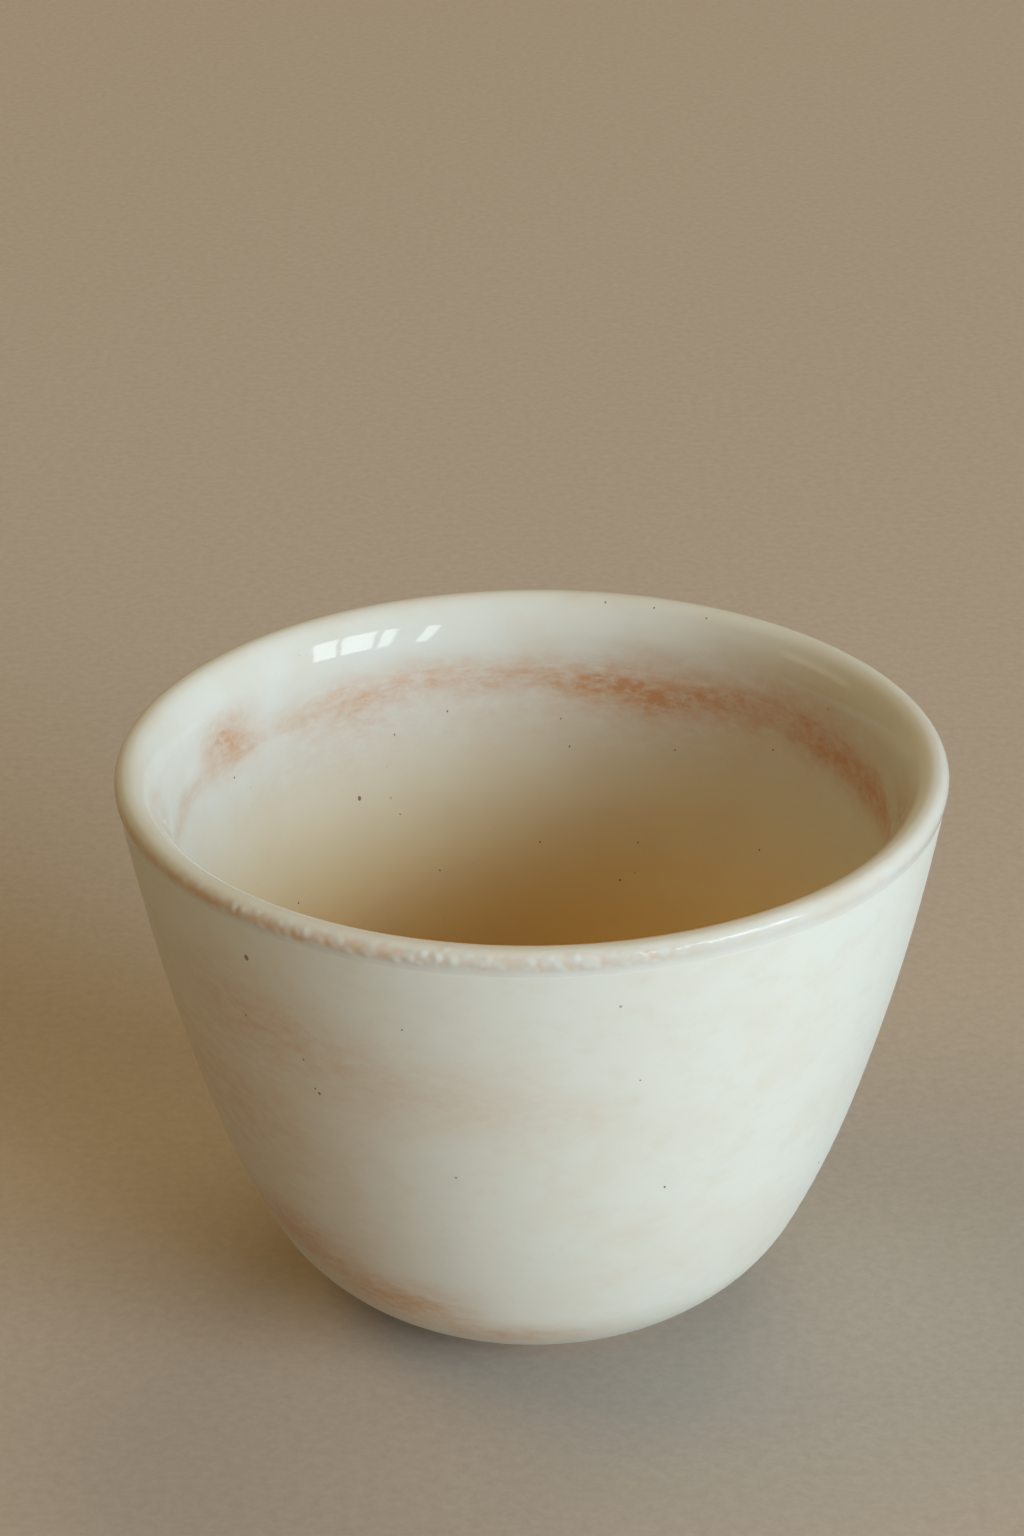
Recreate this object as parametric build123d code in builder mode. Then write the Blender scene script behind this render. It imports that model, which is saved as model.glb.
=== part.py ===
from build123d import *
from math import cos, radians, sin
import os

# Hand-thrown cup of pale stoneware. Millimetres, +Z up, the origin under the middle of the foot.
# Its lines are drawn flat, as radius and height. The sections made from them are stood up in the
# XZ plane and turned about Z. Slopes, leans and sweeps are in degrees.

# outside of the clay, from the foot up to the lip
foot_height = 2.6
belly_start_radius = 16.8
belly_start_slope = 15.0
belly_radius = 21.2
belly_sweep = 48.7
shoulder_radius = 96.0
shoulder_sweep = 9.1
rim_radius = 44.5
cup_height = 65.1

# lip: a small roll outside, a larger one inside that eases into a flare, and how far each side
# leans from upright there
outer_roll_radius = 0.8
inner_roll_radius = 2.0
inner_roll_sweep = 48.0
lip_flare_radius = 8.5
outer_lean = 9.0
inner_lean = 13.0

# inside of the clay: the wall keeps its thickness up to the shoulder and thins to the lip
wall_thickness = 4.4
floor_thickness = 4.5
well_radius = 11.7
floor_edge_slope = 8.0

# hollow turned into the underside, inside the foot
recess_rise = 0.9

# foot ring, luted to the underside
foot_ledge = 0.5
foot_ring_width = 3.6
foot_taper = 0.4
foot_chamfer = 0.5

# coats of glaze, and how far down each side the glossy coat over the lip reaches
liner_glaze_thickness = 0.5
lip_glaze_thickness = 0.5
outer_glaze_thickness = 0.4
lip_glaze_inside = 4.3
lip_glaze_outside = 1.6


def from_centre(centre, radius, angle):
    """The point at a radius and an angle from a centre."""
    return (centre[0] + radius * cos(radians(angle)), centre[1] + radius * sin(radians(angle)))


def coat_section(wall, thickness, side):
    """The section of a coat of glaze on one side of some lengths of wall."""
    with BuildSketch(Plane.XZ) as section:
        with BuildLine():
            add(wall)
            offset(amount=thickness, side=side)
        make_face()
    return section.sketch


crest_radius = rim_radius - outer_roll_radius
outer_roll_centre = (crest_radius, cup_height - outer_roll_radius)
inner_roll_centre = (crest_radius, cup_height - inner_roll_radius)
outer_side_top = from_centre(outer_roll_centre, outer_roll_radius, -outer_lean)
inner_roll_end = 90 + inner_roll_sweep
inner_roll_to_flare = lip_flare_radius - inner_roll_radius
lip_flare_centre = from_centre(inner_roll_centre, -inner_roll_to_flare, inner_roll_end)
lip_flare_sweep = 180 - inner_lean - inner_roll_end
inner_side_top = from_centre(lip_flare_centre, lip_flare_radius, 180 - inner_lean)

belly_start = (belly_start_radius, foot_height)
belly_heading = Vector(1, 0).rotate(Axis.Z, belly_start_slope)
belly_centre = from_centre(belly_start, belly_radius, belly_start_slope + 90)
belly_end_slope = belly_start_slope + belly_sweep
inner_belly_end = from_centre(belly_centre, belly_radius - wall_thickness, belly_end_slope - 90)
well_centre = from_centre(inner_belly_end, well_radius, belly_end_slope + 90)
well_sweep = belly_end_slope - floor_edge_slope

foot_outer_radius = belly_start_radius - foot_ledge
recess_radius = foot_outer_radius - foot_ring_width
recess_top = foot_height + recess_rise
floor_top = recess_top + floor_thickness

# outside wall: belly, shoulder and side, each tangent to the one below, and the outer roll
with BuildLine() as outer_wall:
    belly = JernArc(belly_start, belly_heading, belly_radius, belly_sweep)
    shoulder = JernArc(belly @ 1, belly % 1, shoulder_radius, shoulder_sweep)
    outer_side = TangentArc(shoulder @ 1, outer_side_top, tangent=shoulder % 1)
    outer_roll = CenterArc(outer_roll_centre, outer_roll_radius, -outer_lean, 90 + outer_lean)

# inside wall: dished floor, well, shoulder, side and flare, and the inner roll up to the same crest
with BuildLine() as inner_wall:
    well = CenterArc(well_centre, well_radius, floor_edge_slope - 90, well_sweep)
    floor = TangentArc((0, floor_top), well @ 0, tangent=(1, 0))
    inner_shoulder = JernArc(well @ 1, belly % 1, shoulder_radius - wall_thickness, shoulder_sweep)
    inner_side = TangentArc(inner_shoulder @ 1, inner_side_top, tangent=shoulder % 1)
    lip_flare = CenterArc(lip_flare_centre, lip_flare_radius, 180 - inner_lean, -lip_flare_sweep)
    inner_roll = CenterArc(inner_roll_centre, inner_roll_radius, inner_roll_end, -inner_roll_sweep)

# the joins between the coats, as shares of the length of each side
outer_join_share = 1 - lip_glaze_outside / outer_side.length
inner_join_share = 1 - lip_glaze_inside / inner_side.length

with BuildPart() as clay_body:
    with BuildSketch(Plane.XZ):
        with BuildLine():
            add(outer_wall.line)
            add(inner_wall.line)
            recess = TangentArc((0, recess_top), (recess_radius, foot_height), tangent=(1, 0))
            Line(recess @ 1, belly @ 0)
            Line(recess @ 0, floor @ 0)
        make_face()
    revolve(axis=Axis.Z)

with BuildPart() as foot_ring:
    with BuildSketch(Plane.XZ):
        with BuildLine():
            Polyline(
                (recess_radius, foot_height),
                (recess_radius + foot_taper, 0),
                (foot_outer_radius - foot_taper, 0),
                (foot_outer_radius, foot_height),
                close=True,
            )
        make_face()
        chamfer(vertices().group_by(Axis.Y)[0], foot_chamfer)
    revolve(axis=Axis.Z)

with BuildPart() as liner_glaze:
    liner_wall = [floor, well, inner_shoulder, inner_side.trim(0, inner_join_share)]
    revolve(coat_section(liner_wall, liner_glaze_thickness, Side.LEFT), axis=Axis.Z)

with BuildPart() as lip_glaze:
    inner_lip = [inner_side.trim(inner_join_share, 1), lip_flare, inner_roll]
    outer_lip = [outer_side.trim(outer_join_share, 1), outer_roll]
    revolve(coat_section(inner_lip, lip_glaze_thickness, Side.LEFT), axis=Axis.Z)
    revolve(coat_section(outer_lip, lip_glaze_thickness, Side.RIGHT), axis=Axis.Z)

with BuildPart() as outer_glaze:
    glazed_outside = [belly, shoulder, outer_side.trim(0, outer_join_share)]
    revolve(coat_section(glazed_outside, outer_glaze_thickness, Side.RIGHT), axis=Axis.Z)

clay_body.part.label = "clay_body"
foot_ring.part.label = "foot_ring"
liner_glaze.part.label = "liner_glaze"
lip_glaze.part.label = "lip_glaze"
outer_glaze.part.label = "outer_glaze"

os.makedirs("parts", exist_ok=True)
export_step(clay_body.part, "parts/clay_body.step")
export_step(foot_ring.part, "parts/foot_ring.step")
export_step(liner_glaze.part, "parts/liner_glaze.step")
export_step(lip_glaze.part, "parts/lip_glaze.step")
export_step(outer_glaze.part, "parts/outer_glaze.step")
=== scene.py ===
from math import atan2, ceil, cos, degrees, hypot, pi, radians, sin, tan, tau

import bpy
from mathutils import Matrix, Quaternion, Vector, noise


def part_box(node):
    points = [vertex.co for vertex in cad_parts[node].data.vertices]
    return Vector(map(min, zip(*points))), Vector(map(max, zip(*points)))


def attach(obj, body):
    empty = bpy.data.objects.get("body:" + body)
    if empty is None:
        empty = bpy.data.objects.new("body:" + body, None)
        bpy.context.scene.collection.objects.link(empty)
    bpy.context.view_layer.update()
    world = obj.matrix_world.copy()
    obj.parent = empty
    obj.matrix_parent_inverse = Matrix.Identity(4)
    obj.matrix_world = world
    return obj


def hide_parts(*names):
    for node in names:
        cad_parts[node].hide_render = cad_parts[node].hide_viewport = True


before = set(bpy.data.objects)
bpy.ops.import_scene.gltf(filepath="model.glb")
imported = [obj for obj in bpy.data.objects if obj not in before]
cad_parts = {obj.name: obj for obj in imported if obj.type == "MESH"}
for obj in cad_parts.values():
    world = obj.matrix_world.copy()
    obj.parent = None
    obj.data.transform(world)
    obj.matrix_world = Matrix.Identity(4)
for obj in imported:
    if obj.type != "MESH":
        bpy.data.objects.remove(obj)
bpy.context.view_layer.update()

# Hand-thrown stoneware cup. Metres, +Z up, the origin under the middle of the foot.
# A bearing is in degrees round the cup: 0 faces the camera, and it rises towards the right.

mm = 0.001

# the two faces of the clay wall, as arcs drawn on from each other from the foot and the middle
# of the floor up to the crest of the lip: each one's radius, and its turn to the left in degrees
belly = (21.2 * mm, 48.7)
shoulder = (96.0 * mm, 9.1)
outer_side = (267.9 * mm, 7.99)
outer_roll = (0.8 * mm, 99.21)
bowl_floor = (125.1 * mm, 8.05)
well = (11.7 * mm, 55.65)
inner_shoulder = (91.6 * mm, 9.1)
inner_side = (439.0 * mm, 4.26)
lip_flare = (8.5 * mm, -29.06)
inner_roll = (2.0 * mm, -48.0)
recess = (90.06 * mm, -8.11)
belly_start_slope = 15.0

# where the arcs start, from the frame
foot_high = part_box("foot_ring")[1]
clay_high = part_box("clay_body")[1]
liner_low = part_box("liner_glaze")[0]
foot_ledge = 0.5 * mm
foot_ring_width = 3.6 * mm
foot_taper = 0.4 * mm
foot_edge = 0.5 * mm
recess_rise = 0.9 * mm
belly_start_radius = foot_high.x + foot_ledge
recess_radius = foot_high.x - foot_ring_width
crest_radius = clay_high.x - outer_roll[0]
inner_roll_height = clay_high.z - inner_roll[0]

# coats of glaze: how thick each is, and how far its hidden face sinks into the clay
liner_thickness = 0.5 * mm
lip_thickness = 0.5 * mm
outside_thickness = 0.4 * mm
bond = 0.15 * mm

# how far down each side the coats meet, how far the lip's coat laps over the ones below, how far
# it swells over the liner and how deep its feathered edge starts under the liner's face
outer_join = 1.6 * mm
outside_reach = 0.9 * mm
inner_join = 4.3 * mm
outer_lap = 0.9 * mm
inner_lap = 2.6 * mm
inner_swell = 0.05 * mm
feather = 0.1 * mm
inner_wander = 0.2 * inner_lap
inner_wander_width = 2 * inner_lap

# rows and segments of the meshes, fine where the surface shows
fine_row = 0.2 * mm
lip_row = 0.35 * mm
coat_row = 0.6 * mm
clay_row = 1.2 * mm
hidden_row = 2.5 * mm
coat_segments = 420
lip_segments = 1300
clay_segments = 360

# the small plane that becomes a section's first point, how near the points of a section and of
# a turned piece are joined, and the angle from which an edge stays sharp, in degrees
first_point = 0.1 * mm
join = 0.03 * mm
seam = 0.001 * mm
crease = 40.0

# how a cup comes off the wheel: a slight wobble, the spiral of the fingers, an uneven rim. Where
# the wobble and the unevenness start and are full is given as shares of the height
wobble_depth = 0.16 * mm
wobble_width = 34 * mm
wobble_from = 0.05
wobble_full = 0.3
ridge_depth = 0.018 * mm
ridge_pitch = 2.7 * mm
ridge_patch = 4 * ridge_pitch
rim_unevenness = 0.14 * mm
rim_swings = 1.3
rim_from = 0.7

# the lip's coat rises gently out of the outside coat, ragged from the left round to the front.
# There it gathers in lumps on the roll of the lip, with gaps where the clay shows through. A lump
# and a gap reach over shares of the lumps' spacing
edge_depth = 0.385 * mm
edge_rise = 1.6 * mm
edge_lap_share = 0.8
ragged_from = -64
ragged_full = -48
ragged_ease = 4
ragged_to = 32
ragged_least = 0.15
ragged_drop = 0.4 * mm
ragged_size = 2.2 * mm
lump_spacing = 1.15 * mm
lump_height = 0.16 * mm
lump_high = 65.5 * mm
lump_low = 63.9 * mm
lump_ease = 0.35 * mm
lump_reach = 0.75
gap_from = 0.42
gap_full = 0.85
lump_patch = 2.6 * mm
lump_mean = 0.5
lump_swing = 1.2
lump_least = 0.55

# where the lip's coat runs thin: between the lumps, and on its outer corner at the left
corner_height = 64.5 * mm
corner_reach = 0.8 * mm
corner_from = -125
corner_full = -95
corner_ease = -40
corner_to = -5
corner_least = 0.2
thin_mean = 0.7
thin_swing = 0.6

# where the iron in the clay shows through the glaze as flashing. The band inside is given
# from place to place round the cup: bearing, height, half its width, strength
inside_band = (
    (-180, 57.3 * mm, 3.8 * mm, 0.52),
    (-163, 57.6 * mm, 4.0 * mm, 0.52),
    (-147, 56.8 * mm, 5.0 * mm, 0.52),
    (-136, 56.6 * mm, 4.6 * mm, 0.36),
    (-127, 57.0 * mm, 2.8 * mm, 0.14),
    (-114, 56.4 * mm, 2.4 * mm, 0.14),
    (-104, 56.6 * mm, 2.2 * mm, 0.4),
    (-90, 56.6 * mm, 2.2 * mm, 0.3),
    (-45, 56.6 * mm, 3.0 * mm, 0.2),
    (0, 56.8 * mm, 3.4 * mm, 0.3),
    (50, 56.2 * mm, 3.4 * mm, 0.25),
    (84, 56.0 * mm, 3.4 * mm, 0.5),
    (96, 56.2 * mm, 3.8 * mm, 0.9),
    (108, 56.4 * mm, 5.0 * mm, 1.0),
    (120, 56.8 * mm, 5.0 * mm, 0.92),
    (134, 57.0 * mm, 5.0 * mm, 0.56),
    (148, 56.4 * mm, 4.6 * mm, 0.7),
    (158, 55.9 * mm, 4.6 * mm, 0.95),
    (167, 55.9 * mm, 4.4 * mm, 0.92),
    (173, 56.4 * mm, 4.0 * mm, 0.7),
    (180, 57.3 * mm, 3.8 * mm, 0.52),
)

# the band is a narrow core in a soft spread: the spread's share of its strength, the core's share
# of its width, and how far it drifts up and down, and over what distance
band_spread_share = 0.62
band_core_share = 0.6
band_drift = 0.7 * mm
band_wander = 6 * mm

# other flashes, some of them broad warm patches of painted shade: bearing, height, reach round in
# degrees, reach up, strength
# inside, the broad patches at the right and at the back are painted warm shade
inside_flashes_and_warm_shade = (
    (-118, 58.3 * mm, 13, 5.4 * mm, 0.58),
    (-117, 58.7 * mm, 9, 4.0 * mm, 0.2),
    (-124, 56.6 * mm, 6, 2.6 * mm, 0.25),
    (-150, 53.6 * mm, 9, 2.4 * mm, 0.14),
    (-142, 52.0 * mm, 38, 8.0 * mm, 0.2),
    (160, 59.6 * mm, 14, 2.6 * mm, 0.2),
    (162, 54.0 * mm, 62, 9.5 * mm, 0.26),
    (128, 59.5 * mm, 40, 6.0 * mm, 0.3),
)
# outside, the broad patches over the left side are painted warm shade
outside_flashes_and_warm_shade = (
    (-30, 13.5 * mm, 28, 6.5 * mm, 0.8),
    (-52, 18 * mm, 26, 7 * mm, 0.68),
    (-4, 9.5 * mm, 30, 3.5 * mm, 0.52),
    (-44, 51 * mm, 30, 9 * mm, 0.4),
    (-62, 38 * mm, 36, 14 * mm, 0.25),
    (-60, 30 * mm, 60, 34 * mm, 0.26),
    (-20, 47 * mm, 26, 8 * mm, 0.26),
    (2, 45 * mm, 20, 6 * mm, 0.16),
    (16, 26 * mm, 10, 3 * mm, 0.12),
    (120, 20 * mm, 36, 8 * mm, 0.35),
    (175, 40 * mm, 40, 12 * mm, 0.3),
    (-130, 30 * mm, 40, 12 * mm, 0.3),
)

# a thin drip line inside the lip at the right: where it runs from and to, its size, and how white
# its painted highlight is
drip_from = 118
drip_full = 122
drip_ease = 133
drip_to = 137
drip_height = 63.9 * mm
drip_reach = 0.32 * mm
drip_depth = 0.06 * mm
drip_painted_highlight = 0.6

# where the lip's coat passes from satin to glossy on each side, and how white it is low down
# outside
satin_from_outside = 62.4 * mm
satin_to_outside = 64.2 * mm
satin_from_inside = 57 * mm
satin_to_inside = 61 * mm
low_whiteness = 0.42

# down the bowl the glaze turns from cool white to cream and, where it pools, to honey, partly
# painted warm shade
cream_from = 56 * mm
cream_full = 44 * mm
honey_from = 55 * mm
honey_full = 22 * mm

# the stain that iron leaves inside, also used for painted warm shade there, and the size and
# flatness of the level streaks and grains that it comes in. The clouds outside lie a little flat
# too
iron_and_shade_stain = "#BE9068"
streak_size = 2.5 * mm
streak_flatness = 2.2
cloud_flatness = 1.3

# specks too small to model: the share of places that have none, how strong one is, and its soft
# edge as a share of its size
speckless_share = 0.45
small_speck_strength = 0.7
small_speck_edge = 0.5

# iron specks melted into each coat: bearing, height, width
liner_specks = (
    (-146.0, 45.5 * mm, 0.66 * mm),
    (-154.8, 51.7 * mm, 0.32 * mm),
    (-153.9, 42.5 * mm, 0.28 * mm),
    (-126.4, 37.0 * mm, 0.32 * mm),
    (174.7, 52.0 * mm, 0.28 * mm),
    (173.0, 48.8 * mm, 0.32 * mm),
    (153.1, 49.9 * mm, 0.3 * mm),
    (133.1, 53.3 * mm, 0.34 * mm),
    (178.4, 37.6 * mm, 0.32 * mm),
    (-160.8, 35.2 * mm, 0.28 * mm),
    (161.5, 33.9 * mm, 0.34 * mm),
    (131.3, 41.9 * mm, 0.34 * mm),
    (-118.0, 54.2 * mm, 0.34 * mm),
    (-165.0, 53.4 * mm, 0.3 * mm),
    (20.0, 48.0 * mm, 0.32 * mm),
    (-40.0, 41.0 * mm, 0.28 * mm),
    (70.0, 36.0 * mm, 0.32 * mm),
    (-15.0, 30.0 * mm, 0.34 * mm),
)
lip_specks = (
    (122.5, 60.7 * mm, 0.32 * mm),
    (168.0, 65.2 * mm, 0.34 * mm),
    (160.0, 65.2 * mm, 0.34 * mm),
    (151.0, 65.1 * mm, 0.3 * mm),
    (-75.0, 61.5 * mm, 0.3 * mm),
    (35.0, 60.5 * mm, 0.34 * mm),
)
outside_specks = (
    (-41.5, 58.9 * mm, 0.85 * mm),
    (-32.8, 43.6 * mm, 0.5 * mm),
    (-33.4, 44.1 * mm, 0.34 * mm),
    (-34.5, 47.7 * mm, 0.34 * mm),
    (-17.7, 55.1 * mm, 0.3 * mm),
    (-12.0, 35.6 * mm, 0.34 * mm),
    (21.0, 32.8 * mm, 0.36 * mm),
    (-44.5, 50.6 * mm, 0.34 * mm),
    (14.9, 48.7 * mm, 0.26 * mm),
    (62.0, 24.0 * mm, 0.3 * mm),
    (95.0, 50.0 * mm, 0.4 * mm),
    (128.0, 33.0 * mm, 0.34 * mm),
    (160.0, 55.0 * mm, 0.36 * mm),
    (-170.0, 27.0 * mm, 0.4 * mm),
    (-140.0, 48.0 * mm, 0.34 * mm),
    (-105.0, 39.0 * mm, 0.3 * mm),
)

# pimples of glaze that catch the light
liner_pimples = ((-158.3, 54.0 * mm, 0.36 * mm), (-120.0, 50.0 * mm, 0.28 * mm))
lip_pimples = (
    (-139.3, 63.4 * mm, 0.34 * mm),
    (-140.6, 63.2 * mm, 0.28 * mm),
    (-133.5, 62.6 * mm, 0.26 * mm),
)

# specks and pimples are low domes, a little longer than wide and a little sunk
dome_flatness = 0.42
dome_sunk_share = 0.08
dome_narrowness = 0.75
dome_sides = 12

# the floor that the cup stands on, a square
floor_width = 12000 * mm

# camera, where the photograph was taken from
camera_distance = 450 * mm
camera_elevation = 26.345
camera_target = Vector((0, 0, 63 * mm))
camera_aim = Vector((-2.12 * mm, 0.39 * mm, 63.80 * mm))
camera_roll = -0.479
camera_lens = 97.42

# key light: a softbox in four panes, each one's middle and width as shares of the whole width
light_distance = 4000 * mm
softbox_bearing = 50.0
softbox_elevation = 25.0
softbox_width = 3150 * mm
softbox_height = 1500 * mm
softbox_brightness = 5.0
pane_shares = ((0.153, 0.094), (0.443, 0.094), (0.653, 0.234), (0.905, 0.19))
key_colour = (0.84, 0.95, 1.0)

# screens that light the cup and don't shine in it: name, bearing, elevation, width, height,
# brightness, colour
screens = (
    ("key_screen_wide", 47.0, 15.0, 3200 * mm, 2050 * mm, 3.25, (0.7, 0.85, 1.0)),
    ("key_screen", 48.5, 15.0, 2500 * mm, 1800 * mm, 3.6, (0.7, 0.85, 1.0)),
    ("key_screen_narrow", 50.0, 15.0, 1900 * mm, 1600 * mm, 4.1, (0.7, 0.85, 1.0)),
    ("warm_screen", 18.0, 15.0, 2200 * mm, 2000 * mm, 1.8, (1.0, 0.62, 0.25)),
    ("back_screen", 150.0, 60.0, 2600 * mm, 2200 * mm, 2.5, (1.0, 0.84, 0.55)),
    ("side_screen", -95.0, 55.0, 2400 * mm, 2000 * mm, 2.6, (1.0, 0.66, 0.25)),
)

# the dim warm light from all round, as linear values
fill_colour = (0.03, 0.02, 0.012, 1)


def ease(low, high, value):
    """0 below low, 1 above high, and a smooth climb between."""
    share = min(1, max(0, (value - low) / (high - low)))
    return share * share * (3 - 2 * share)


def between(low, full, falling, high, value):
    """0 below low and above high, 1 from full to falling, and smooth between them."""
    return ease(low, full, value) * (1 - ease(falling, high, value))


def bearing_of(place):
    """Degrees round the cup, from 0 at the front, rising towards the right."""
    return degrees(atan2(place.x, -place.y))


def near(bearing, centre, reach):
    """1 at a bearing, easing to 0 at a reach on either side of it."""
    return 1 - ease(0, reach, abs((bearing - centre + 180) % 360 - 180))


# A section is drawn with a pen: the radius and height of its point, and its heading in radians.


def after(pen, radius, turn):
    """The pen at the end of an arc, drawn to the left where the turn is above 0."""
    side = 1 if turn > 0 else -1
    heading = pen[2] + radians(turn)
    x = pen[0] + side * radius * (sin(heading) - sin(pen[2]))
    z = pen[1] - side * radius * (cos(heading) - cos(pen[2]))
    return x, z, heading


def beside(pen, offset):
    """The pen moved to the right of the clay's line by an offset."""
    return pen[0] + offset * sin(pen[2]), pen[1] - offset * cos(pen[2]), pen[2]


def start_section(name, pen):
    """Puts down the first point of a piece's section, in edit mode."""
    bpy.ops.object.select_all(action="DESELECT")
    bpy.ops.mesh.primitive_plane_add(size=first_point, location=(pen[0], 0, pen[1]))
    bpy.context.object.name = name
    bpy.ops.object.mode_set(mode="EDIT")
    bpy.ops.mesh.merge(type="COLLAPSE")


def arc(pen, radius, turn, row):
    """Spins the last point on along an arc."""
    side = 1 if turn > 0 else -1
    sweep = abs(radians(turn))
    centre = (pen[0] - side * radius * sin(pen[2]), 0, pen[1] + side * radius * cos(pen[2]))
    bpy.ops.mesh.spin(
        steps=ceil(radius * sweep / row), angle=sweep, center=centre, axis=(0, side, 0),
        dupli=False, use_auto_merge=False,
    )
    return after(pen, radius, turn)


def line_to(pen, radius, height, heading):
    """Extrudes the last point to a place, and turns the pen to a new heading."""
    step = (radius - pen[0], 0, height - pen[1])
    bpy.ops.mesh.extrude_region_move(TRANSFORM_OT_translate={"value": step})
    return radius, height, heading


def along(pen, wall, offset, rows):
    """Draws on along the arcs of a wall, at an offset to the right of the clay's line."""
    for (radius, turn), row in zip(wall, rows):
        pen = arc(pen, radius + (offset if turn > 0 else -offset), turn, row)
    return pen


def back_along(pen, wall, offset, rows):
    """Draws back along the arcs of a wall, on the line at that offset."""
    for (radius, turn), row in zip(reversed(wall), reversed(rows)):
        pen = arc(pen, radius + (offset if turn > 0 else -offset), -turn, row)
    return pen


def spin_round(segments):
    """Turns the section full circle, closes its seam and poles, and points its faces outwards."""
    bpy.ops.mesh.select_all(action="SELECT")
    bpy.ops.mesh.remove_doubles(threshold=join)
    bpy.ops.object.mode_set(mode="OBJECT")
    bpy.ops.object.transform_apply(location=True, rotation=True, scale=True)
    bpy.ops.object.modifier_add(type="SCREW")
    turn = bpy.context.object.modifiers[-1]
    turn.steps = segments
    turn.render_steps = segments
    turn.use_merge_vertices = True
    turn.merge_threshold = join
    bpy.ops.object.modifier_apply(modifier=turn.name)
    bpy.ops.object.mode_set(mode="EDIT")
    bpy.ops.mesh.select_all(action="SELECT")
    bpy.ops.mesh.remove_doubles(threshold=seam)
    bpy.ops.mesh.normals_make_consistent(inside=False)
    bpy.ops.object.mode_set(mode="OBJECT")
    return bpy.context.object


def shape(piece, move):
    """Moves each point of a piece, as the hand would."""
    for vertex in piece.data.vertices:
        vertex.co = move(vertex.co)
    piece.data.update()


def paint(piece, layer_name, amount):
    """Keeps an amount at each point of a piece, for its material to read."""
    layer = piece.data.attributes.new(layer_name, "FLOAT", "POINT")
    layer.data.foreach_set("value", [amount(vertex.co) for vertex in piece.data.vertices])


def finish_piece(piece, material, node):
    """Smooths and dresses a piece, and sets it on its body, in place of its node if it has one."""
    bpy.ops.object.select_all(action="DESELECT")
    piece.select_set(True)
    bpy.context.view_layer.objects.active = piece
    bpy.ops.object.shade_smooth_by_angle(angle=radians(crease))
    piece.data.materials.append(material)
    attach(piece, "root")
    if node:
        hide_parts(node)


def thrown(place):
    """Where a point of the true round form lies on the cup as it came off the wheel."""
    radius = hypot(place.x, place.y)
    if radius < join:
        return place.copy()
    outwards = Vector((place.x, place.y, 0)) / radius
    above_foot = ease(wobble_from, wobble_full, place.z / clay_high.z)
    wobble = wobble_depth * noise.noise(place / wobble_width)
    turns = (place.z + radius) / ridge_pitch + atan2(place.x, place.y) / tau
    strength = 0.5 + 0.5 * noise.noise(place / ridge_patch)
    ridge = ridge_depth * sin(tau * turns) * strength
    near_rim = ease(rim_from, 1, place.z / clay_high.z)
    rim = rim_unevenness * noise.noise(outwards * rim_swings) * near_rim
    return place + outwards * (wobble + ridge) * above_foot + Vector((0, 0, rim))


def flash_and_warm_shade(place, spots):
    """How strongly the patches in a list stain the glaze at a place: iron flashes, and painted warm
    shade.
    """
    bearing = bearing_of(place)
    left = 1
    for at, height, reach, tall, strength in spots:
        away = abs(place.z - height)
        if away < tall:
            left *= 1 - strength * (1 - ease(0, tall, away)) * near(bearing, at, reach)
    return 1 - left


def band(place):
    """How strongly the band of iron shows inside at a place: a dark line in a soft spread."""
    bearing = bearing_of(place)
    for left, right in zip(inside_band, inside_band[1:]):
        if left[0] <= bearing <= right[0]:
            share = ease(left[0], right[0], bearing)
            height, reach, strength = (a + (b - a) * share for a, b in zip(left[1:], right[1:]))
            away = abs(place.z - height + band_drift * noise.noise(place / band_wander)) / reach
            spread = band_spread_share * (1 - ease(0, 1, away))
            core = (1 - band_spread_share) * (1 - ease(0, band_core_share, away))
            return strength * (spread + core)
    return 0


def inside_flash_and_warm_shade(place):
    """How strongly the glaze is stained inside at a place: the band and the other flashes together,
    with painted warm shade.
    """
    return 1 - (1 - flash_and_warm_shade(place, inside_flashes_and_warm_shade)) * (1 - band(place))


def outside_flash_and_warm_shade(place):
    """How strongly the glaze is stained outside at a place: flashes of iron, and painted warm shade
    over the left side.
    """
    return flash_and_warm_shade(place, outside_flashes_and_warm_shade)


# clay wall

outside_wall = (belly, shoulder, outer_side, outer_roll)
inside_wall = (bowl_floor, well, inner_shoulder, inner_side, lip_flare, inner_roll)
belly_start = (belly_start_radius, foot_high.z, radians(belly_start_slope))


def make_clay_wall():
    """The thrown wall and floor, bare underneath and on the ledge over the foot."""
    pen = (0, foot_high.z + recess_rise, 0)
    start_section("clay_wall", pen)
    pen = arc(pen, *recess, clay_row)
    pen = line_to(pen, *belly_start)
    pen = along(pen, outside_wall, 0, (clay_row, clay_row, clay_row / 2, fine_row))
    back_along(pen, inside_wall, 0, (clay_row,) * 5 + (lip_row,))
    piece = spin_round(clay_segments)
    shape(piece, thrown)
    return piece


# foot ring


def make_foot():
    """The foot ring, turned when leather hard, its edges softened with a sponge."""
    lean = atan2(foot_high.z, foot_taper)
    cut = foot_edge * tan(lean / 2)
    inner_corner = recess_radius + foot_taper
    outer_corner = foot_high.x - foot_taper
    pen = (recess_radius, foot_high.z, -lean)
    start_section("turned_foot", pen)
    pen = line_to(pen, inner_corner - cut * cos(lean), cut * sin(lean), -lean)
    pen = arc(pen, foot_edge, degrees(lean), fine_row)
    pen = line_to(pen, outer_corner - cut, 0, 0)
    pen = arc(pen, foot_edge, degrees(lean), fine_row)
    pen = line_to(pen, foot_high.x, foot_high.z, 0)
    line_to(pen, recess_radius, foot_high.z, 0)
    return spin_round(clay_segments)


# liner coat

inner_side_length = inner_side[0] * radians(inner_side[1])
liner_share = 1 - inner_join / inner_side_length
floor_middle = (0, liner_low.z, 0)


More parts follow.
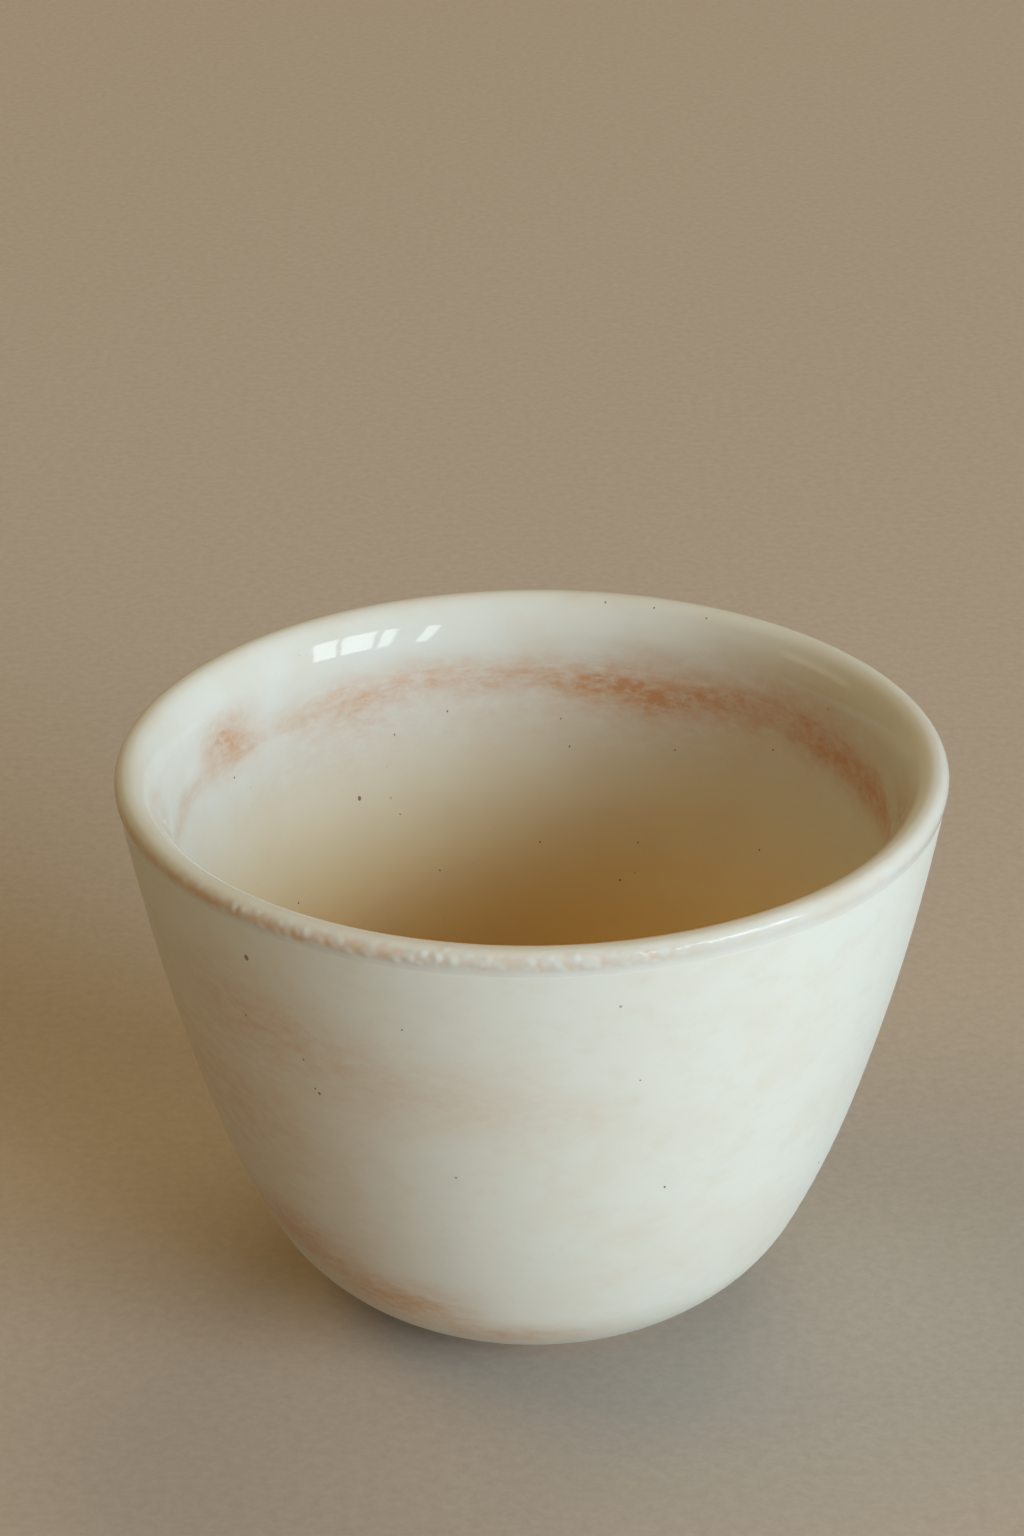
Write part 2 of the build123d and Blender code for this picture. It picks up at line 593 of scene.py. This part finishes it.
def make_liner():
    """The coat poured into the bowl: its hidden face, a round edge, and the face that shows."""
    wall = (bowl_floor, well, inner_shoulder, (inner_side[0], inner_side[1] * liner_share))
    pen = beside(floor_middle, bond)
    start_section("liner_coat", pen)
    pen = along(pen, wall, bond, (hidden_row,) * 4)
    pen = arc(pen, (bond + liner_thickness) / 2, 180, fine_row)
    back_along(pen, wall, -liner_thickness, (coat_row,) * 4)
    piece = spin_round(coat_segments)
    shape(piece, thrown)
    # the iron's flashes, with painted warm shade at the right and the back
    paint(piece, "iron_flash_and_warm_shade", inside_flash_and_warm_shade)
    return piece


# outside coat

outer_side_length = outer_side[0] * radians(outer_side[1])
outside_share = 1 - outside_reach / outer_side_length


def make_outside_coat():
    """The coat that the outside was dipped in, from the ledge over the foot up to the lip."""
    wall = (belly, shoulder, (outer_side[0], outer_side[1] * outside_share))
    edge = (outside_thickness + bond) / 2
    pen = beside(belly_start, outside_thickness)
    start_section("outside_coat", pen)
    pen = along(pen, wall, outside_thickness, (coat_row,) * 3)
    pen = arc(pen, edge, 180, fine_row)
    pen = back_along(pen, wall, -bond, (hidden_row,) * 3)
    arc(pen, edge, 180, fine_row)
    piece = spin_round(coat_segments)
    shape(piece, thrown)
    # the iron's flashes, with painted warm shade over the left side
    paint(piece, "iron_flash_and_warm_shade", outside_flash_and_warm_shade)
    return piece


# lip coat

lip_share_outside = (outer_join + outer_lap) / outer_side_length
lip_share_inside = (inner_join + inner_lap) / inner_side_length
lip_start = after(after(belly_start, *belly), *shoulder)
lip_start = after(lip_start, outer_side[0], outer_side[1] * (1 - lip_share_outside))
lip_end = after(after(after(floor_middle, *bowl_floor), *well), *inner_shoulder)
lip_end = after(lip_end, inner_side[0], inner_side[1] * (1 - lip_share_inside))
lip_low_outside = lip_start[1]
lip_low_inside = lip_end[1]


def on_outside(place):
    """Whether a place on the lip's coat lies outside the crest."""
    return hypot(place.x, place.y) > crest_radius


def raggedness(bearing):
    """How ragged the lip's edge is at a bearing, up to 1."""
    return max(between(ragged_from, ragged_full, ragged_ease, ragged_to, bearing), ragged_least)


def lumps(place):
    """How strongly the glaze has gathered in lumps at a place, and how strongly it left gaps."""
    height = place.z + lump_ease * noise.noise(place / ragged_size)
    on_roll = between(lump_low - lump_ease, lump_low, lump_high - lump_ease, lump_high, height)
    patchy = min(1, max(lump_least, lump_mean + lump_swing * noise.noise(place / lump_patch)))
    strength = raggedness(bearing_of(place)) * on_roll * patchy
    away = noise.voronoi(place / lump_spacing)[0][0]
    return strength * (1 - ease(0, lump_reach, away)), strength * ease(gap_from, gap_full, away)


def drip(place):
    """How near a place is to the drip line inside the lip, up to 1."""
    if on_outside(place):
        return 0
    there = between(drip_from, drip_full, drip_ease, drip_to, bearing_of(place))
    return there * (1 - ease(0, drip_reach, abs(place.z - drip_height)))


def lip_depth(place):
    """How far the lip's coat stands off the clay."""
    if on_outside(place):
        drop = ragged_drop * raggedness(bearing_of(place)) * noise.noise(place / ragged_size)
        edge_height = lip_low_outside + outer_lap * edge_lap_share + drop
        rise = ease(0, edge_rise, place.z - edge_height)
        full = lip_thickness + lump_height * lumps(place)[0]
        return edge_depth + (full - edge_depth) * rise
    wander = inner_wander * noise.noise(place / inner_wander_width)
    whole = ease(lip_low_inside, lip_low_inside + inner_lap, place.z + wander)
    return liner_thickness - feather + (inner_swell + feather) * whole + drip_depth * drip(place)


def whiteness_and_drip_highlight(place):
    """How white the lip's coat is painted: a painted highlight on the drip line, and thick white
    glaze low down outside.
    """
    if on_outside(place):
        return low_whiteness * (1 - ease(satin_from_outside, satin_to_outside, place.z))
    return drip_painted_highlight * drip(place)


def satin(place):
    """How satin the lip's coat is where it thins out over the coats below, up to 1."""
    if on_outside(place):
        return 1 - ease(satin_from_outside, satin_to_outside, place.z)
    return 1 - ease(satin_from_inside, satin_to_inside, place.z)


def thinness(place):
    """How much of the clay shows through the lip's coat."""
    if not on_outside(place):
        return 0
    there = between(corner_from, corner_full, corner_ease, corner_to, bearing_of(place))
    corner = (1 - ease(0, corner_reach, abs(place.z - corner_height))) * max(there, corner_least)
    patchy = thin_mean + thin_swing * noise.noise(place / ragged_size)
    return min(1, (corner + lumps(place)[1]) * patchy)


def make_lip():
    """The glossy coat over the lip, lapping over the coats on both sides, lumpy on its roll."""
    wall = (
        (outer_side[0], outer_side[1] * lip_share_outside),
        outer_roll,
        (inner_roll[0], -inner_roll[1]),
        (lip_flare[0], -lip_flare[1]),
        (inner_side[0], -inner_side[1] * lip_share_inside),
    )
    edge = (lip_thickness + bond) / 2
    pen = beside(lip_start, lip_thickness)
    start_section("lip_coat", pen)
    pen = along(pen, wall, lip_thickness, (fine_row, fine_row, lip_row, lip_row, coat_row))
    pen = arc(pen, edge, 180, lip_row)
    pen = back_along(pen, wall, -bond, (hidden_row,) * 5)
    arc(pen, edge, 180, lip_row)
    piece = spin_round(lip_segments)
    # only the face that shows is moved in or out, and not the one that is sunk in the clay
    normals = [vertex.normal.copy() for vertex in piece.data.vertices]
    for vertex, normal in zip(piece.data.vertices, normals):
        place = vertex.co.copy()
        outwards = Vector((place.x, place.y, 0)).normalized()
        spine = outwards * crest_radius + Vector((0, 0, min(place.z, inner_roll_height)))
        if normal.dot(place - spine) > 0:
            vertex.co = place + normal * (lip_depth(place) - lip_thickness)
    paint(piece, "clay_showing", thinness)
    # whiter glaze low outside, and a painted highlight along the drip line
    paint(piece, "glaze_whiter_and_highlight", whiteness_and_drip_highlight)
    paint(piece, "satin", satin)
    # the iron's flashes inside, with painted warm shade at the right
    paint(piece, "iron_flash_and_warm_shade", inside_flash_and_warm_shade)
    shape(piece, thrown)
    return piece


# specks and pimples


def add_dome(coat, bearing, height, width):
    """A low dome sunk in the face of a coat, seen from inside the bowl or from outside."""
    away = Vector((sin(radians(bearing)), -cos(radians(bearing)), 0))
    start = Vector((0, 0, height))
    if coat.name == "outside_coat":
        # from well outside the cup, looking in
        start += away * clay_high.x * 2
        away.negate()
    place, normal = coat.ray_cast(start, away)[1:3]
    bpy.ops.mesh.primitive_uv_sphere_add(
        segments=dome_sides, ring_count=dome_sides // 2, radius=width / 2,
        location=place - normal * width * dome_sunk_share,
        rotation=normal.to_track_quat("Z", "Y").to_euler(),
    )
    bpy.context.object.scale = (dome_narrowness, 1, dome_flatness)
    return bpy.context.object


def make_domes(name, coats):
    """Domes on several coats, as one piece."""
    domes = [add_dome(coat, *spot) for coat, spots in coats for spot in spots]
    bpy.ops.object.select_all(action="DESELECT")
    for dome in domes:
        dome.select_set(True)
    bpy.ops.object.transform_apply(location=True, rotation=True, scale=True)
    bpy.ops.object.join()
    bpy.context.object.name = name
    return bpy.context.object


# materials


def linear(hex_colour):
    """An sRGB hex colour as linear values, opaque."""
    values = [int(hex_colour[i:i + 2], 16) / 255 for i in (1, 3, 5)]
    return [v / 12.92 if v <= 0.04045 else ((v + 0.055) / 1.055) ** 2.4 for v in values] + [1]


def add(tree, kind, sockets=None, **settings):
    """Adds a node with its settings. A socket takes a value, a hex colour or a link from a node."""
    node = tree.nodes.new("ShaderNode" + kind)
    for name, value in settings.items():
        setattr(node, name, value)
    for key, value in (sockets or {}).items():
        fits = [s for i, s in enumerate(node.inputs) if key == i or (key == s.name and s.enabled)]
        if isinstance(value, bpy.types.Node):
            value = next(s for s in value.outputs if s.enabled)
        if isinstance(value, bpy.types.NodeSocket):
            tree.links.new(value, fits[0])
        else:
            fits[0].default_value = linear(value) if isinstance(value, str) else value
    return node


def new_material(name):
    """An empty material, and its nodes."""
    material = bpy.data.materials.new(name)
    material.use_nodes = True
    material.node_tree.nodes.clear()
    return material, material.node_tree


def ripple(tree, place, width, depth):
    """The slow ripple of a melted surface, as a bump."""
    waves = add(tree, "TexNoise", {"Vector": place, "Scale": 1 / width, "Detail": 2.0})
    return add(tree, "Bump", {"Height": waves, "Distance": depth})


def stained_by_flash_and_shade(tree, place, glaze, stain):
    """A glaze's colour, stained in fine level streaks and grains where the iron flashes and where
    warm shade is painted.
    """
    amount = add(tree, "Attribute", attribute_name="iron_flash_and_warm_shade").outputs["Fac"]
    level = add(tree, "Mapping", {"Vector": place, "Scale": (1, 1, streak_flatness)})
    grainy = {"Scale": 1 / streak_size, "Detail": 5.0, "Roughness": 0.72}
    streaks = add(tree, "TexNoise", {"Vector": level, **grainy})
    ends = {"From Min": 0.34, "From Max": 0.66, "To Min": 0.5, "To Max": 1.35}
    streaks = add(tree, "MapRange", {"Value": streaks, **ends})
    share = add(tree, "Math", {0: amount, 1: streaks}, operation="MULTIPLY", use_clamp=True)
    return add(tree, "Mix", {"Factor": share, "A": glaze, "B": stain}, data_type="RGBA")


def specked(tree, place, glaze, spacing, size, colour):
    """A glaze's colour with a few small iron specks melted into it."""
    cells = add(tree, "TexVoronoi", {"Vector": place, "Scale": 1 / spacing})
    pick = add(tree, "SeparateColor", {"Color": cells.outputs["Color"]})
    reach = {"Value": pick, "From Min": speckless_share, "To Max": size / spacing}
    reach = add(tree, "MapRange", reach)
    inside = add(tree, "Math", {0: reach, 1: cells.outputs["Distance"]}, operation="SUBTRACT")
    edge = small_speck_edge * size / spacing
    speck = {"Value": inside, "From Max": edge, "To Max": small_speck_strength}
    speck = add(tree, "MapRange", speck)
    return add(tree, "Mix", {"Factor": speck, "A": glaze, "B": colour}, data_type="RGBA")


def liner_material():
    """Feldspar glaze, poured: satin, cream on the wall, thicker and honey coloured below, the honey
    partly painted warm shade.
    """
    material, tree = new_material("feldspar_liner_glaze_poured")
    place = add(tree, "TexCoord").outputs["Object"]
    height = add(tree, "SeparateXYZ", {"Vector": place}).outputs["Z"]
    high = {"Value": height, "From Min": cream_from, "From Max": cream_full}
    thinner = add(tree, "MapRange", high, interpolation_type="SMOOTHSTEP")
    glaze = add(tree, "Mix", {"Factor": thinner, "A": "#D0D3CB", "B": "#D0CFC0"}, data_type="RGBA")
    # painted warm shade: honey deepening down the bowl, partly glaze that pools thicker there
    low = {"Value": height, "From Min": honey_from, "From Max": honey_full}
    pooled_and_shaded = add(tree, "MapRange", low, interpolation_type="SMOOTHSTEP")
    glaze = add(tree, "Mix", {"Factor": pooled_and_shaded, "A": glaze, "B": "#E4C88C"}, data_type="RGBA")
    cloud = add(tree, "TexNoise", {"Vector": place, "Scale": 1 / (9 * mm), "Detail": 3.0})
    ends = {"From Min": 0.45, "From Max": 0.7, "To Max": 0.25}
    cloud = add(tree, "MapRange", {"Value": cloud, **ends})
    glaze = add(tree, "Mix", {"Factor": cloud, "A": glaze, "B": "#CFBB9E"}, data_type="RGBA")
    glaze = stained_by_flash_and_shade(tree, place, glaze, iron_and_shade_stain)
    glaze = specked(tree, place, glaze, spacing=3.2 * mm, size=0.26 * mm, colour="#8A6A4A")
    bump = ripple(tree, place, width=1.4 * mm, depth=0.006 * mm)
    satin_glaze = {"Base Color": glaze, "Roughness": 0.32, "IOR": 1.5, "Normal": bump}
    shader = add(tree, "BsdfPrincipled", satin_glaze)
    add(tree, "OutputMaterial", {"Surface": shader})
    return material


def lip_material():
    """Feldspar glaze, dipped twice: glossy and cool white, with peach where it is thin, a painted
    highlight on its drip line and painted warm shade inside.
    """
    material, tree = new_material("feldspar_lip_glaze_double_dipped")
    place = add(tree, "TexCoord").outputs["Object"]
    thin = add(tree, "Attribute", attribute_name="clay_showing").outputs["Fac"]
    glaze = add(tree, "Mix", {"Factor": thin, "A": "#D0D3CB", "B": "#CDAF90"}, data_type="RGBA")
    cloud = add(tree, "TexNoise", {"Vector": place, "Scale": 1 / (7 * mm), "Detail": 4.0})
    ends = {"From Min": 0.45, "From Max": 0.75, "To Max": 0.35}
    cloud = add(tree, "MapRange", {"Value": cloud, **ends})
    glaze = add(tree, "Mix", {"Factor": cloud, "A": glaze, "B": "#C8BDA8"}, data_type="RGBA")
    # mixed towards white: whiter glaze low outside, and a painted highlight on the drip line
    white = add(tree, "Attribute", attribute_name="glaze_whiter_and_highlight").outputs["Fac"]
    glaze = add(tree, "Mix", {"Factor": white, "A": glaze, "B": "#F4F8EE"}, data_type="RGBA")
    glaze = stained_by_flash_and_shade(tree, place, glaze, iron_and_shade_stain)
    glaze = specked(tree, place, glaze, spacing=6 * mm, size=0.25 * mm, colour="#8A6A50")
    soft = add(tree, "Attribute", attribute_name="satin").outputs["Fac"]
    roughness = add(tree, "MapRange", {"Value": soft, "To Min": 0.05, "To Max": 0.34})
    bump = ripple(tree, place, width=1.2 * mm, depth=0.002 * mm)
    glossy_glaze = {"Base Color": glaze, "Roughness": roughness, "IOR": 1.52, "Normal": bump}
    shader = add(tree, "BsdfPrincipled", glossy_glaze)
    add(tree, "OutputMaterial", {"Surface": shader})
    return material


def outside_material():
    """Feldspar glaze, dipped once: satin, greenish cream white, with clouds of the clay's peach,
    and painted warm shade at its left.
    """
    material, tree = new_material("feldspar_outside_glaze_dipped")
    place = add(tree, "TexCoord").outputs["Object"]
    level = add(tree, "Mapping", {"Vector": place, "Scale": (1, 1, cloud_flatness)})
    cloud = {"Scale": 1 / (14 * mm), "Detail": 5.0, "Roughness": 0.6}
    cloud = add(tree, "TexNoise", {"Vector": level, **cloud})
    ends = {"From Min": 0.45, "From Max": 0.75, "To Max": 0.28}
    cloud = add(tree, "MapRange", {"Value": cloud, **ends})
    glaze = add(tree, "Mix", {"Factor": cloud, "A": "#DBDFD5", "B": "#D8C8B0"}, data_type="RGBA")
    mottle = {"Scale": 1 / (3.5 * mm), "Detail": 5.0, "Roughness": 0.65}
    mottle = add(tree, "TexNoise", {"Vector": level, **mottle})
    ends = {"From Min": 0.5, "From Max": 0.75, "To Max": 0.15}
    mottle = add(tree, "MapRange", {"Value": mottle, **ends})
    glaze = add(tree, "Mix", {"Factor": mottle, "A": glaze, "B": "#CBBFA6"}, data_type="RGBA")
    # the iron's peach flashes, with painted warm shade over the left side
    glaze = stained_by_flash_and_shade(tree, place, glaze, "#C9A077")
    glaze = specked(tree, place, glaze, spacing=4.5 * mm, size=0.25 * mm, colour="#8C7458")
    bump = ripple(tree, place, width=0.9 * mm, depth=0.004 * mm)
    satin_glaze = {"Base Color": glaze, "Roughness": 0.38, "IOR": 1.5, "Normal": bump}
    shader = add(tree, "BsdfPrincipled", satin_glaze)
    add(tree, "OutputMaterial", {"Surface": shader})
    return material


def speck_material():
    """Iron oxide melted in glaze: dark brown, glossy, redder where it is thin."""
    material, tree = new_material("iron_specks_melted")
    place = add(tree, "TexCoord").outputs["Object"]
    shade = add(tree, "TexNoise", {"Vector": place, "Scale": 1 / (3 * mm)})
    iron = add(tree, "Mix", {"Factor": shade, "A": "#654A38", "B": "#9A7B5E"}, data_type="RGBA")
    bump = ripple(tree, place, width=0.3 * mm, depth=0.01 * mm)
    melted_iron = {"Base Color": iron, "Roughness": 0.3, "IOR": 1.6, "Normal": bump}
    shader = add(tree, "BsdfPrincipled", melted_iron)
    add(tree, "OutputMaterial", {"Surface": shader})
    return material


def bare_clay_material():
    """Stoneware, thrown and fired bare: dry and matte, peach to buff, with fine grog."""
    material, tree = new_material("stoneware_thrown_bare")
    place = add(tree, "TexCoord").outputs["Object"]
    grog = add(tree, "TexNoise", {"Vector": place, "Scale": 1 / (0.8 * mm), "Detail": 4.0})
    clay = add(tree, "Mix", {"Factor": grog, "A": "#B48A68", "B": "#D3AE8F"}, data_type="RGBA")
    bump = add(tree, "Bump", {"Height": grog, "Distance": 0.03 * mm})
    dry_clay = {"Base Color": clay, "Roughness": 0.85, "IOR": 1.5, "Normal": bump}
    shader = add(tree, "BsdfPrincipled", dry_clay)
    add(tree, "OutputMaterial", {"Surface": shader})
    return material


def turned_clay_material():
    """Stoneware, turned and fired bare: matte, with the fine rings that the turning tool leaves."""
    material, tree = new_material("stoneware_turned_bare")
    place = add(tree, "TexCoord").outputs["Object"]
    turned = {"Vector": place, "Scale": 1 / (2.2 * mm), "Distortion": 1.5}
    rings = add(tree, "TexWave", turned, wave_type="RINGS", rings_direction="Z")
    grog = add(tree, "TexNoise", {"Vector": place, "Scale": 1 / (0.7 * mm), "Detail": 4.0})
    clay = add(tree, "Mix", {"Factor": grog, "A": "#A98060", "B": "#C8A485"}, data_type="RGBA")
    bump = add(tree, "Bump", {"Height": rings, "Distance": 0.02 * mm})
    bump = add(tree, "Bump", {"Height": grog, "Distance": 0.02 * mm, "Normal": bump})
    dry_clay = {"Base Color": clay, "Roughness": 0.88, "IOR": 1.5, "Normal": bump}
    shader = add(tree, "BsdfPrincipled", dry_clay)
    add(tree, "OutputMaterial", {"Surface": shader})
    return material


# floor, light and camera

cup_middle = Vector((0, 0, clay_high.z / 2))


def make_floor():
    """A plain pale floor of matte paper, its fibre drawn coarser than it is, so that it shows."""
    bpy.ops.mesh.primitive_plane_add(size=floor_width)
    floor = bpy.context.object
    floor.name = "floor"
    material, tree = new_material("floor_paper_plain")
    place = add(tree, "TexCoord").outputs["Object"]
    fine = {"Scale": 1 / (1.4 * mm), "Detail": 4.0, "Roughness": 0.7}
    fibre = add(tree, "TexNoise", {"Vector": place, **fine})
    paper = add(tree, "Mix", {"Factor": fibre, "A": "#A79D90", "B": "#C6BCB0"}, data_type="RGBA")
    bump = add(tree, "Bump", {"Height": fibre, "Distance": 0.02 * mm})
    matte_paper = {"Base Color": paper, "Roughness": 0.9, "IOR": 1.5, "Normal": bump}
    shader = add(tree, "BsdfPrincipled", matte_paper)
    add(tree, "OutputMaterial", {"Surface": shader})
    floor.data.materials.append(material)


def from_cup(bearing, elevation, distance):
    """A place at a bearing, an elevation and a distance from the middle of the cup."""
    flat = distance * cos(radians(elevation))
    x = flat * sin(radians(bearing))
    y = -flat * cos(radians(bearing))
    return cup_middle + Vector((x, y, distance * sin(radians(elevation))))


def add_light(name, place, aim, width, height, brightness, colour):
    """A soft rectangular lamp, set by how bright its face is."""
    bpy.ops.object.light_add(type="AREA", location=place)
    lamp = bpy.context.object
    lamp.name = name
    lamp.rotation_mode = "QUATERNION"
    lamp.rotation_quaternion = (aim - place).to_track_quat("-Z", "Y")
    lamp.data.shape = "RECTANGLE"
    lamp.data.size = width
    lamp.data.size_y = height
    lamp.data.energy = pi * width * height * brightness
    lamp.data.color = colour
    return lamp


def make_light():
    """A soft key from the front right, and dim warm light from the front, behind and the left."""
    softbox = from_cup(softbox_bearing, softbox_elevation, light_distance)
    bearing = radians(softbox_bearing)
    across = Vector((cos(bearing), sin(bearing), 0)) * softbox_width
    for number, (at, width) in enumerate(pane_shares):
        shift = across * (at - 0.5)
        wide = softbox_width * width
        place = softbox + shift
        aim = cup_middle + shift
        name = "softbox_pane_%d" % number
        add_light(name, place, aim, wide, softbox_height, softbox_brightness, key_colour)
    for name, bearing, elevation, wide, tall, brightness, colour in screens:
        place = from_cup(bearing, elevation, light_distance)
        screen = add_light(name, place, cup_middle, wide, tall, brightness, colour)
        screen.visible_glossy = False
    world = bpy.data.worlds.new("studio")
    bpy.context.scene.world = world
    world.use_nodes = True
    tree = world.node_tree
    tree.nodes.clear()
    ray = add(tree, "LightPath").outputs
    seen = {0: ray["Is Camera Ray"], 1: ray["Is Glossy Ray"]}
    seen = add(tree, "Math", seen, operation="MAXIMUM")
    fill = add(tree, "Background", {"Color": fill_colour})
    backdrop = add(tree, "Background", {"Color": "#B3A692"})
    mixed = add(tree, "MixShader", {0: seen, 1: fill, 2: backdrop})
    add(tree, "OutputWorld", {"Surface": mixed})


def make_camera():
    """The camera at the photograph's viewing angle."""
    elevation = radians(camera_elevation)
    place = camera_target + camera_distance * Vector((0, -cos(elevation), sin(elevation)))
    bpy.ops.object.camera_add(location=place)
    camera = bpy.context.object
    camera.rotation_mode = "QUATERNION"
    facing = (camera_aim - place).to_track_quat("-Z", "Y")
    camera.rotation_quaternion = facing @ Quaternion((0, 0, 1), radians(camera_roll))
    camera.data.lens = camera_lens
    bpy.context.scene.camera = camera


make_camera()
make_light()
make_floor()
finish_piece(make_clay_wall(), bare_clay_material(), "clay_body")
finish_piece(make_foot(), turned_clay_material(), "foot_ring")
liner_coat = make_liner()
finish_piece(liner_coat, liner_material(), "liner_glaze")
outside_coat = make_outside_coat()
finish_piece(outside_coat, outside_material(), "outer_glaze")
lip_coat = make_lip()
double_glaze = lip_material()
finish_piece(lip_coat, double_glaze, "lip_glaze")
specked_coats = (
    (liner_coat, liner_specks),
    (lip_coat, lip_specks),
    (outside_coat, outside_specks),
)
specks = make_domes("iron_specks", specked_coats)
finish_piece(specks, speck_material(), None)
pimples = make_domes("glaze_pimples", ((liner_coat, liner_pimples), (lip_coat, lip_pimples)))
finish_piece(pimples, double_glaze, None)
bpy.context.scene.view_settings.view_transform = "Standard"
